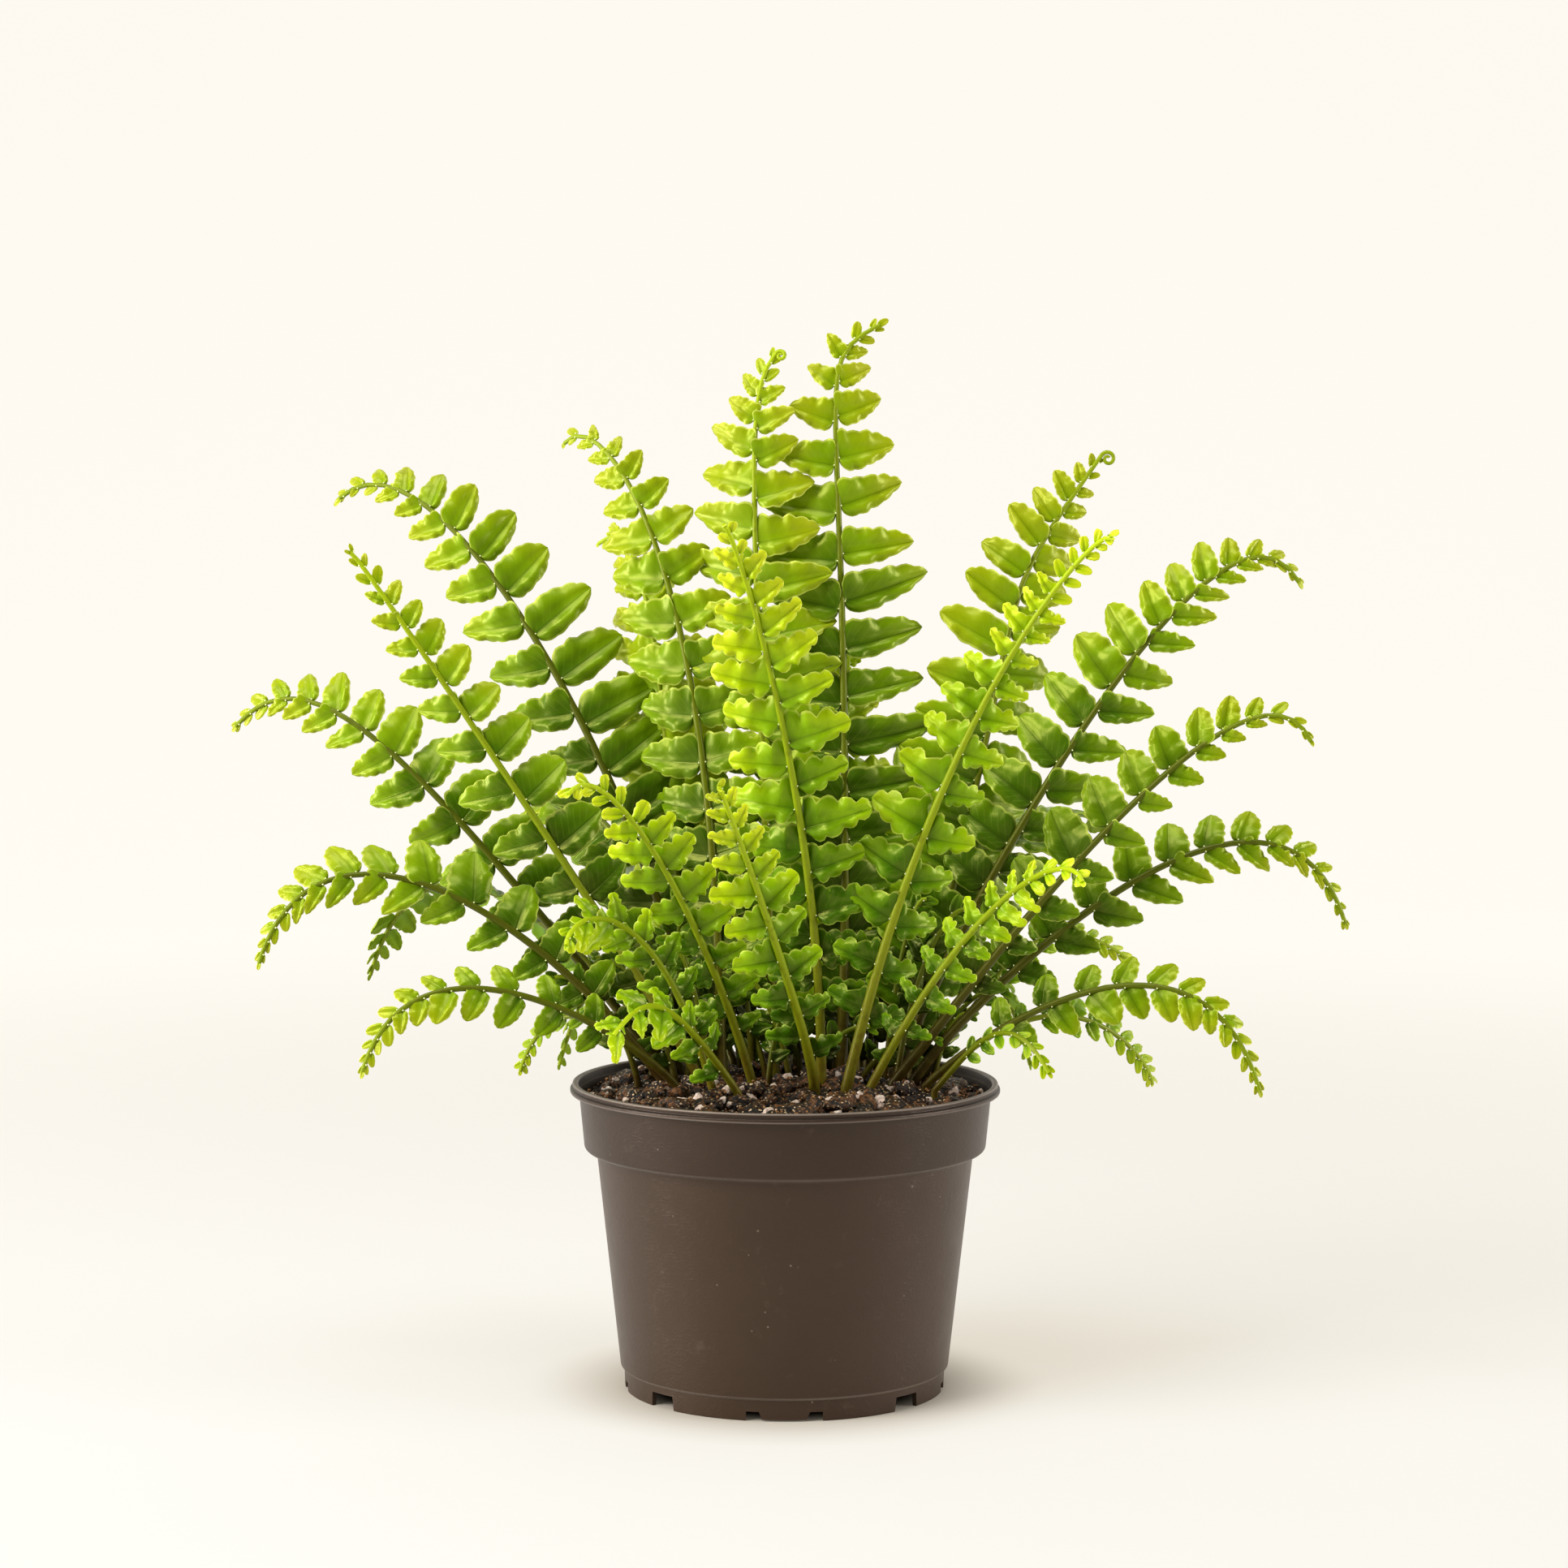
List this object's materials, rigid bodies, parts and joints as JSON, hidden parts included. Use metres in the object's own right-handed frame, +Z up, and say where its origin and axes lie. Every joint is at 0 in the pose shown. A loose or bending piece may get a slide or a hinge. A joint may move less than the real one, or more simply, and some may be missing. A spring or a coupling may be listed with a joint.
{
  "type": "potted boston fern",
  "caption": "Bushy upright boston fern with arching pinnate fronds of broad wavy leaflets, in a round tapered plastic nursery pot filled with potting mix.",
  "frame": {"origin": "on the pot's axis, on the surface the pot stands on, below the middle of the plant's spread", "axes": "+Z up, +X to the right as seen from the front, -Y toward the front, where the young fronds grow"},
  "size_m": [0.3161, 0.1852, 0.2992],
  "materials": {
    "pot_plastic": "satin dark brown-grey moulded plastic",
    "potting_mix": "loose matte potting mix of peat, bark bits and perlite",
    "mature_leaf": "smooth leaf with a soft gloss, fresh green",
    "young_leaf": "smooth leaf with a soft gloss, yellow-green"
  },
  "bodies": {
    "root": {"pot": "pot_plastic", "soil": "potting_mix", "frond_young_front": "young_leaf", "frond_young_tall": "young_leaf", "frond_young_right": "young_leaf", "frond_young_left": "young_leaf", "frond_young_short_right": "young_leaf", "frond_young_low_left": "young_leaf", "frond_young_small_left": "young_leaf", "frond_tall_right": "mature_leaf", "frond_tall_left": "mature_leaf", "frond_upright_left": "mature_leaf", "frond_upright_right": "mature_leaf", "frond_arching_left_high": "mature_leaf", "frond_arching_right_high": "mature_leaf", "frond_arching_left_middle": "mature_leaf", "frond_arching_right_middle": "young_leaf", "frond_arching_left_wide": "young_leaf", "frond_arching_right_wide": "young_leaf", "frond_arching_left_low": "young_leaf", "frond_hanging_left": "young_leaf", "frond_hanging_right": "young_leaf", "frond_small_left": "young_leaf", "frond_small_right": "young_leaf", "frond_short_right": "young_leaf", "frond_drooping_right": "young_leaf", "frond_light_behind_left": "young_leaf", "frond_light_behind_right": "young_leaf", "frond_back_upright": "mature_leaf", "frond_back_left_upright": "young_leaf", "frond_back_left_arching": "young_leaf", "frond_back_left_wide": "young_leaf", "frond_back_right_upright": "young_leaf", "frond_back_right_arching": "young_leaf", "frond_back_low": "young_leaf", "frond_back_left_low": "young_leaf", "frond_back_right_low": "young_leaf"}
  },
  "joints": []
}
